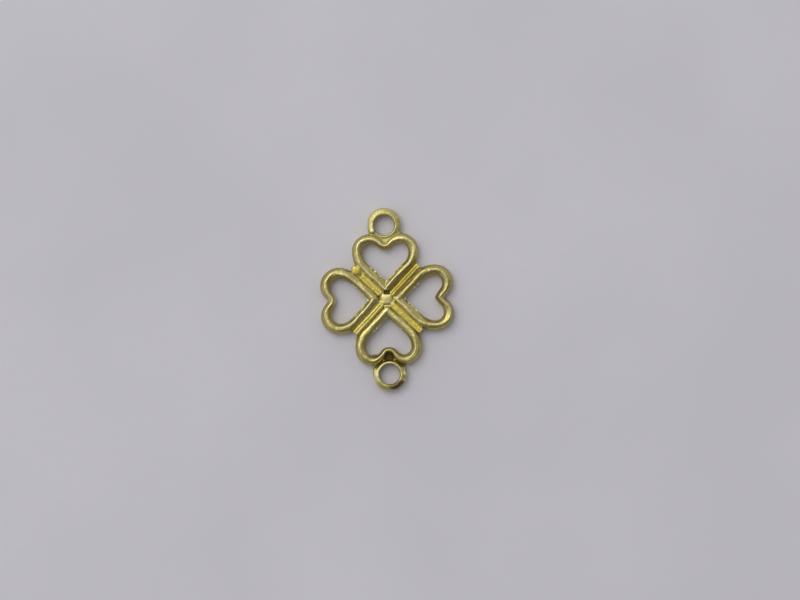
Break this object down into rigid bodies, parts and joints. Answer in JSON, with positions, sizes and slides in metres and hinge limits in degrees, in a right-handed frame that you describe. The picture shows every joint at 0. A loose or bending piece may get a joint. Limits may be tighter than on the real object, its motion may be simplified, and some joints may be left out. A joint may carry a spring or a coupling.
{
  "type": "clover heart charm",
  "caption": "Small flat link charm in the shape of a clover, with open heart frames round a centre pad and a hanging eyelet at the top and at the bottom.",
  "frame": {"origin": "centre of the clover on the flat back plane, where the charm rests when it lies face up", "axes": "+Y towards the top eyelet, +Z out of the front, +X to the right seen from the front"},
  "size_m": [0.0146, 0.02, 0.0015],
  "materials": {
    "brass": "greenish yellow brass, softly polished, with brown in the recesses",
    "grainy_brass": "the same brass left grainy as cast, a little yellower"
  },
  "bodies": {
    "root": {"top_heart": "brass", "left_heart": "brass", "bottom_heart": "brass", "right_heart": "brass", "centre_pad": "brass", "top_eyelet": "brass", "bottom_eyelet": "brass", "upper_right_strip": "grainy_brass", "upper_left_strip": "grainy_brass", "lower_left_strip": "grainy_brass", "lower_right_strip": "grainy_brass", "upper_left_bead": "grainy_brass"}
  },
  "joints": []
}
